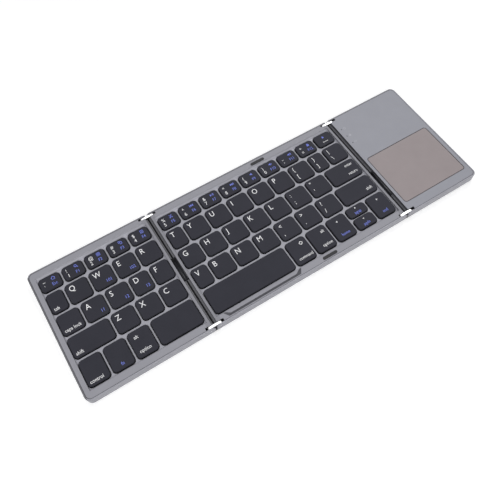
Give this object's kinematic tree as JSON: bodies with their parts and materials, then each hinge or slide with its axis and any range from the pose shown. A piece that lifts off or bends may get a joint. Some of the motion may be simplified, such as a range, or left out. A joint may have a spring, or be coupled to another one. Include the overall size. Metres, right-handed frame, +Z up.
{
  "type": "folding keyboard",
  "caption": "Folding keyboard: a centre panel and wings that fold over it on link-bar hinges, low travelling keys, a touchpad on the right wing and flexible cables across the folds.",
  "frame": {"origin": "bottom centre of the open keyboard's bounding box, on the plane of its rubber feet", "axes": "+X along the open keyboard from the key wing to the touchpad wing, +Y from the user's side to the back, +Z up out of the keys"},
  "size_m": [0.3046, 0.097, 0.0081],
  "materials": {
    "shell_metal": "satin",
    "frame_plastic": "satin",
    "key_plastic": "matte",
    "rubber": "matte",
    "lift_plastic": "matte",
    "steel_plate": "satin",
    "membrane_film": "matte",
    "magnet": "polished",
    "touchpad_surface": "satin",
    "circuit_board": "satin",
    "battery_foil": "satin",
    "socket_steel": "satin",
    "light_guide": "gloss",
    "bright_steel": "polished",
    "cable_film": "satin"
  },
  "bodies": {
    "centre": {"centre_shell": "shell_metal", "centre_frame": "frame_plastic", "centre_key_plate": "steel_plate", "centre_membrane": "membrane_film", "centre_domes": "rubber", "centre_scissors": "lift_plastic", "centre_feet": "rubber", "centre_bumpers": "rubber", "sleep_magnet": "magnet"},
    "left_link": {"left_hinge_links": "bright_steel", "left_hinge_pins": "bright_steel", "left_flex_cable": "cable_film"},
    "left_wing": {"left_shell": "shell_metal", "left_frame": "frame_plastic", "left_key_plate": "steel_plate", "left_membrane": "membrane_film", "left_domes": "rubber", "left_scissors": "lift_plastic", "left_feet": "rubber"},
    "right_link": {"right_hinge_links": "bright_steel", "right_hinge_pins": "bright_steel", "right_flex_cable": "cable_film"},
    "right_wing": {"right_shell": "shell_metal", "right_cover": "frame_plastic", "touchpad": "touchpad_surface", "touchpad_board": "circuit_board", "main_board": "circuit_board", "battery": "battery_foil", "charging_socket": "socket_steel", "status_lights": "light_guide", "right_feet": "rubber"},
    "esc_key": {"esc_key": "key_plastic"},
    "left_digit_keys": {"left_digit_keys": "key_plastic"},
    "tab_key": {"tab_key": "key_plastic"},
    "left_upper_keys": {"left_upper_keys": "key_plastic"},
    "caps_key": {"caps_key": "key_plastic"},
    "left_home_keys": {"left_home_keys": "key_plastic"},
    "left_shift_key": {"left_shift_key": "key_plastic"},
    "left_lower_keys": {"left_lower_keys": "key_plastic"},
    "control_key": {"control_key": "key_plastic"},
    "fn_key": {"fn_key": "key_plastic"},
    "left_option_key": {"left_option_key": "key_plastic"},
    "left_space_key": {"left_space_key": "key_plastic"},
    "digit_keys_5_to_8": {"digit_keys_5_to_8": "key_plastic"},
    "digit_keys_9_to_plus": {"digit_keys_9_to_plus": "key_plastic"},
    "backspace_key": {"backspace_key": "key_plastic"},
    "upper_keys_t_to_i": {"upper_keys_t_to_i": "key_plastic"},
    "upper_keys_o_to_bracket": {"upper_keys_o_to_bracket": "key_plastic"},
    "backslash_key": {"backslash_key": "key_plastic"},
    "centre_home_keys": {"centre_home_keys": "key_plastic"},
    "enter_key": {"enter_key": "key_plastic"},
    "centre_lower_keys": {"centre_lower_keys": "key_plastic"},
    "right_shift_key": {"right_shift_key": "key_plastic"},
    "right_space_key": {"right_space_key": "key_plastic"},
    "command_key": {"command_key": "key_plastic"},
    "right_option_key": {"right_option_key": "key_plastic"},
    "left_arrow_key": {"left_arrow_key": "key_plastic"},
    "up_arrow_key": {"up_arrow_key": "key_plastic"},
    "down_arrow_key": {"down_arrow_key": "key_plastic"},
    "right_arrow_key": {"right_arrow_key": "key_plastic"}
  },
  "joints": [
    {"name": "left_link_fold", "type": "hinge", "parent": "centre", "child": "left_link", "pos_m": [-0.06081, 0, 0.0046], "axis": [0, 1, 0], "range_deg": [0, 90], "deforming": ["left_flex_cable"]},
    {"name": "left_wing_fold", "type": "hinge", "parent": "left_link", "child": "left_wing", "pos_m": [-0.06781, 0, 0.0046], "axis": [0, 1, 0], "range_deg": [0, 90]},
    {"name": "right_link_fold", "type": "hinge", "parent": "centre", "child": "right_link", "pos_m": [0.08571, 0, 0.0046], "axis": [0, -1, 0], "range_deg": [0, 90], "deforming": ["right_flex_cable"]},
    {"name": "right_wing_fold", "type": "hinge", "parent": "right_link", "child": "right_wing", "pos_m": [0.09271, 0, 0.0046], "axis": [0, -1, 0], "range_deg": [0, 90]},
    {"name": "esc_key_travel", "type": "slide", "parent": "left_wing", "child": "esc_key", "axis": [0, 0, -1], "range_m": [0, 0.0012], "stiffness_N_per_m": 450},
    {"name": "left_digit_keys_travel", "type": "slide", "parent": "left_wing", "child": "left_digit_keys", "axis": [0, 0, -1], "range_m": [0, 0.0012], "stiffness_N_per_m": 1800},
    {"name": "tab_key_travel", "type": "slide", "parent": "left_wing", "child": "tab_key", "axis": [0, 0, -1], "range_m": [0, 0.0012], "stiffness_N_per_m": 450},
    {"name": "left_upper_keys_travel", "type": "slide", "parent": "left_wing", "child": "left_upper_keys", "axis": [0, 0, -1], "range_m": [0, 0.0012], "stiffness_N_per_m": 1800},
    {"name": "caps_key_travel", "type": "slide", "parent": "left_wing", "child": "caps_key", "axis": [0, 0, -1], "range_m": [0, 0.0012], "stiffness_N_per_m": 450},
    {"name": "left_home_keys_travel", "type": "slide", "parent": "left_wing", "child": "left_home_keys", "axis": [0, 0, -1], "range_m": [0, 0.0012], "stiffness_N_per_m": 1800, "deforming": ["left_domes", "left_scissors"]},
    {"name": "left_shift_key_travel", "type": "slide", "parent": "left_wing", "child": "left_shift_key", "axis": [0, 0, -1], "range_m": [0, 0.0012], "stiffness_N_per_m": 450},
    {"name": "left_lower_keys_travel", "type": "slide", "parent": "left_wing", "child": "left_lower_keys", "axis": [0, 0, -1], "range_m": [0, 0.0012], "stiffness_N_per_m": 1350},
    {"name": "control_key_travel", "type": "slide", "parent": "left_wing", "child": "control_key", "axis": [0, 0, -1], "range_m": [0, 0.0012], "stiffness_N_per_m": 450},
    {"name": "fn_key_travel", "type": "slide", "parent": "left_wing", "child": "fn_key", "axis": [0, 0, -1], "range_m": [0, 0.0012], "stiffness_N_per_m": 450},
    {"name": "left_option_key_travel", "type": "slide", "parent": "left_wing", "child": "left_option_key", "axis": [0, 0, -1], "range_m": [0, 0.0012], "stiffness_N_per_m": 450},
    {"name": "left_space_key_travel", "type": "slide", "parent": "left_wing", "child": "left_space_key", "axis": [0, 0, -1], "range_m": [0, 0.0012], "stiffness_N_per_m": 450},
    {"name": "digit_keys_5_to_8_travel", "type": "slide", "parent": "centre", "child": "digit_keys_5_to_8", "axis": [0, 0, -1], "range_m": [0, 0.0012], "stiffness_N_per_m": 1800},
    {"name": "digit_keys_9_to_plus_travel", "type": "slide", "parent": "centre", "child": "digit_keys_9_to_plus", "axis": [0, 0, -1], "range_m": [0, 0.0012], "stiffness_N_per_m": 1800},
    {"name": "backspace_key_travel", "type": "slide", "parent": "centre", "child": "backspace_key", "axis": [0, 0, -1], "range_m": [0, 0.0012], "stiffness_N_per_m": 450},
    {"name": "upper_keys_t_to_i_travel", "type": "slide", "parent": "centre", "child": "upper_keys_t_to_i", "axis": [0, 0, -1], "range_m": [0, 0.0012], "stiffness_N_per_m": 1800},
    {"name": "upper_keys_o_to_bracket_travel", "type": "slide", "parent": "centre", "child": "upper_keys_o_to_bracket", "axis": [0, 0, -1], "range_m": [0, 0.0012], "stiffness_N_per_m": 1800},
    {"name": "backslash_key_travel", "type": "slide", "parent": "centre", "child": "backslash_key", "axis": [0, 0, -1], "range_m": [0, 0.0012], "stiffness_N_per_m": 450},
    {"name": "centre_home_keys_travel", "type": "slide", "parent": "centre", "child": "centre_home_keys", "axis": [0, 0, -1], "range_m": [0, 0.0012], "stiffness_N_per_m": 3150, "deforming": ["centre_domes", "centre_scissors"]},
    {"name": "enter_key_travel", "type": "slide", "parent": "centre", "child": "enter_key", "axis": [0, 0, -1], "range_m": [0, 0.0012], "stiffness_N_per_m": 450},
    {"name": "centre_lower_keys_travel", "type": "slide", "parent": "centre", "child": "centre_lower_keys", "axis": [0, 0, -1], "range_m": [0, 0.0012], "stiffness_N_per_m": 3150},
    {"name": "right_shift_key_travel", "type": "slide", "parent": "centre", "child": "right_shift_key", "axis": [0, 0, -1], "range_m": [0, 0.0012], "stiffness_N_per_m": 450},
    {"name": "right_space_key_travel", "type": "slide", "parent": "centre", "child": "right_space_key", "axis": [0, 0, -1], "range_m": [0, 0.0012], "stiffness_N_per_m": 450},
    {"name": "command_key_travel", "type": "slide", "parent": "centre", "child": "command_key", "axis": [0, 0, -1], "range_m": [0, 0.0012], "stiffness_N_per_m": 450},
    {"name": "right_option_key_travel", "type": "slide", "parent": "centre", "child": "right_option_key", "axis": [0, 0, -1], "range_m": [0, 0.0012], "stiffness_N_per_m": 450},
    {"name": "left_arrow_key_travel", "type": "slide", "parent": "centre", "child": "left_arrow_key", "axis": [0, 0, -1], "range_m": [0, 0.0012], "stiffness_N_per_m": 450},
    {"name": "up_arrow_key_travel", "type": "slide", "parent": "centre", "child": "up_arrow_key", "axis": [0, 0, -1], "range_m": [0, 0.0012], "stiffness_N_per_m": 450},
    {"name": "down_arrow_key_travel", "type": "slide", "parent": "centre", "child": "down_arrow_key", "axis": [0, 0, -1], "range_m": [0, 0.0012], "stiffness_N_per_m": 450},
    {"name": "right_arrow_key_travel", "type": "slide", "parent": "centre", "child": "right_arrow_key", "axis": [0, 0, -1], "range_m": [0, 0.0012], "stiffness_N_per_m": 450}
  ]
}
